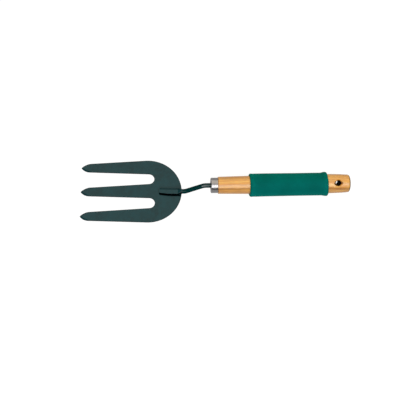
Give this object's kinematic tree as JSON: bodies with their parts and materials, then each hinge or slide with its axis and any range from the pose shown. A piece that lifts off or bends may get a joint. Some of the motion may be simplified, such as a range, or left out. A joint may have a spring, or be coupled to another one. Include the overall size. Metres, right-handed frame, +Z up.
{
  "type": "hand cultivator",
  "caption": "Flat hand cultivator fork with tapered tines, cranked steel shank, plated ferrule, turned wooden handle and soft green grip sleeve.",
  "frame": {"origin": "middle of the bounding box, on the plane that the flat head rests on", "axes": "+X from the tines to the butt of the handle, +Y across the head, +Z up out of the head's top face"},
  "size_m": [0.324, 0.0814, 0.029],
  "materials": {
    "powder_coat": "dark green powder coat, semi-gloss",
    "rod_enamel": "dark green enamel, glossy",
    "plated_steel": "dull nickel plate with fine turned lines",
    "lacquered_wood": "clear lacquer over pale straight-grained hardwood",
    "foam_rubber": "matt green foam rubber"
  },
  "bodies": {
    "root": {"fork_head": "powder_coat", "shank": "rod_enamel", "weld_beads": "rod_enamel", "ferrule": "plated_steel", "handle": "lacquered_wood", "grip_sleeve": "foam_rubber"}
  },
  "joints": []
}
